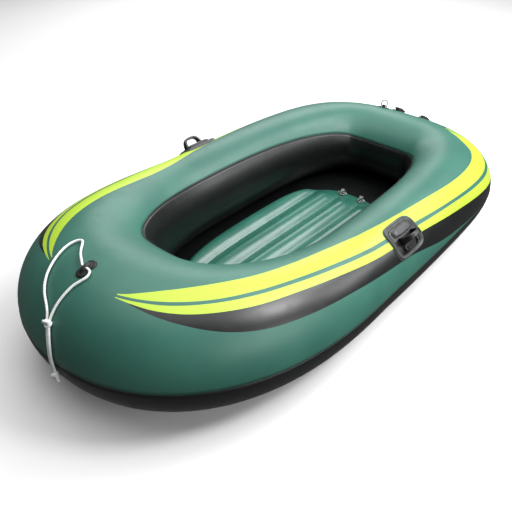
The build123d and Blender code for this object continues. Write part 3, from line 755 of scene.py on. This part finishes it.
def cord_line(points, thickness, name):
    """A cord on one smooth curve, with round section."""
    curve = bpy.data.curves.new(name, "CURVE")
    curve.dimensions = "3D"
    curve.bevel_depth = thickness / 2
    curve.bevel_resolution = 4
    curve.use_fill_caps = True
    curve.resolution_u = 8
    spline = curve.splines.new("NURBS")
    spline.points.add(len(points) - 1)
    for spot, point in zip(spline.points, points):
        spot.co = (*point, 1.0)
    spline.order_u = 3
    spline.use_endpoint_u = True
    piece = bpy.data.objects.new(name, curve)
    scene.collection.objects.link(piece)
    curve.materials.append(CORD_WHITE)
    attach(piece, "hull")
    return piece


def knot_turn(shape, place):
    """One closed turn of the cord, put at its place in the knot."""
    rim = Matrix.Translation((KNOT_TURN_RADIUS, 0, 0)) @ Matrix.Rotation(pi / 2, 4, "X")
    ring = bmesh.ops.create_circle(shape, segments=16, radius=KNOT_CORD, matrix=rim)
    edges = {edge for vert in ring["verts"] for edge in vert.link_edges}
    bmesh.ops.spin(shape, geom=[*ring["verts"], *edges], axis=(0, 0, 1), cent=(0, 0, 0), angle=2 * pi,
                   steps=28, use_merge=True)
    made = [vert for vert in shape.verts if not vert.tag]
    bmesh.ops.transform(shape, matrix=place, verts=made)
    for vert in made:
        vert.tag = True


def knot(name, centre, tilt, node, tail=()):
    """Turns of the cord pulled tight round each other, and a ragged end of small tufts."""
    shape = bmesh.new()
    for turn in range(KNOT_TURNS):
        turned = Matrix.Rotation(tilt + turn * TURN_TWIST, 4, (0.3, 1.0, 0.2 * turn))
        shift = Matrix.Translation(TURN_SHIFT * (turn - 1))
        knot_turn(shape, Matrix.Translation(centre) @ shift @ turned)
    for offset, size in tail:
        tuft = bmesh.ops.create_icosphere(shape, subdivisions=3, radius=size)
        bmesh.ops.translate(shape, verts=tuft["verts"], vec=centre + Vector(offset))
    bmesh.ops.remove_doubles(shape, verts=shape.verts, dist=MERGE)
    bmesh.ops.recalc_face_normals(shape, faces=shape.faces)
    piece = make(shape, name, (CORD_WHITE,), replaces=(node,))
    joined(piece, KNOT_VOXEL)
    return piece


frayed_end = [((0.001, 0.005 + 0.003 * i, -0.005 - 0.0024 * i), 0.0044 - 0.0003 * i) for i in range(4)]
upper_knot = knot("upper_knot", UPPER_KNOT, 0.4, "bow_line_upper_knot")
end_knot = knot("end_knot", END_KNOT, 1.3, "bow_line_end_knot", frayed_end)
starboard_line = cord_line(STARBOARD_ROUTE, CORD, "bow_line_starboard_strand")
port_line = cord_line(PORT_ROUTE, CORD, "bow_line_port_strand")
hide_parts("bow_line_starboard")
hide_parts("bow_line_port")


# ---- carried-over parts --------------------------------------------------------------------------
# The finish of the nodes whose names start so.
NODE_FINISHES = {
    "hull_valve": VALVE_BLACK,
    "floor_valve": CLEAR,
    "stern_ring": RING_GREY,
    "bow_line": CORD_WHITE,
    "bottom_sheet": BLACK,
    "chamber_bulkheads": BLACK,
}


def finish_nodes(start, material):
    for name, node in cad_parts.items():
        if name.startswith(start):
            node.data.materials.clear()
            node.data.materials.append(material)


for name_start, node_material in NODE_FINISHES.items():
    finish_nodes(name_start, node_material)


# ---- floor of the studio and lights --------------------------------------------------------------
STUDIO_REACH, STUDIO_DROP = 30.0, 0.0015
WORLD_STRENGTH = 0.14
# Each lamp's name, place, aim, size and power.
LAMPS = (
    ("key", (-2.4, 1.1, 3.2), (0, 0, 0.2), (1.5, 1.5), 72),
    ("key_port", (-0.8, 1.9, 2.6), (0.2, 0.2, 0.2), (0.8, 0.8), 50),
    ("key_low", (-1.9, 2.0, 1.6), (0, -0.2, 0.2), (0.8, 0.8), 18),
    ("overhead", (0.0, -0.2, 3.4), (-0.2, 0, 0), (4.0, 4.0), 100),
    ("back", (-3.2, -2.9, 2.6), (0, 0, 0.2), (3.6, 2.0), 95),
    ("port_fill", (0.2, 3.2, 1.3), (0, 0, 0.2), (2.4, 1.4), 45),
)


def studio_floor():
    """A white floor that catches shadows, and that the boat doesn't mirror or take light from."""
    shape = bmesh.new()
    bmesh.ops.create_grid(shape, x_segments=1, y_segments=1, size=STUDIO_REACH)
    bmesh.ops.translate(shape, verts=shape.verts, vec=(0, 0, -STUDIO_DROP))
    mesh = bpy.data.meshes.new("studio_floor")
    shape.to_mesh(mesh)
    shape.free()
    floor = bpy.data.objects.new("studio_floor", mesh)
    scene.collection.objects.link(floor)
    paper = Finish("paper", Roughness=0.9, Specular_IOR_Level=0.1)
    paper.set("Base Color", paper.mixed(paper.noise(3.0), colour(250, 250, 250), colour(247, 247, 247)))
    mesh.materials.append(paper.material)
    floor.visible_diffuse = False
    floor.visible_glossy = False


def soft_light(name, spot, aim, size, power):
    lamp = bpy.data.lights.new(name, "AREA")
    lamp.shape = "RECTANGLE"
    lamp.size, lamp.size_y = size
    lamp.energy = power
    light = bpy.data.objects.new(name, lamp)
    light.location = spot
    light.rotation_euler = (Vector(aim) - Vector(spot)).to_track_quat("-Z", "Y").to_euler()
    scene.collection.objects.link(light)


def studio_world():
    world = bpy.data.worlds.new("studio")
    world.use_nodes = True
    background = world.node_tree.nodes["Background"]
    background.inputs["Color"].default_value = (1, 1, 1, 1)
    background.inputs["Strength"].default_value = WORLD_STRENGTH
    scene.world = world
    scene.view_settings.view_transform = "Standard"


studio_floor()
studio_world()
for lamp_facts in LAMPS:
    soft_light(*lamp_facts)
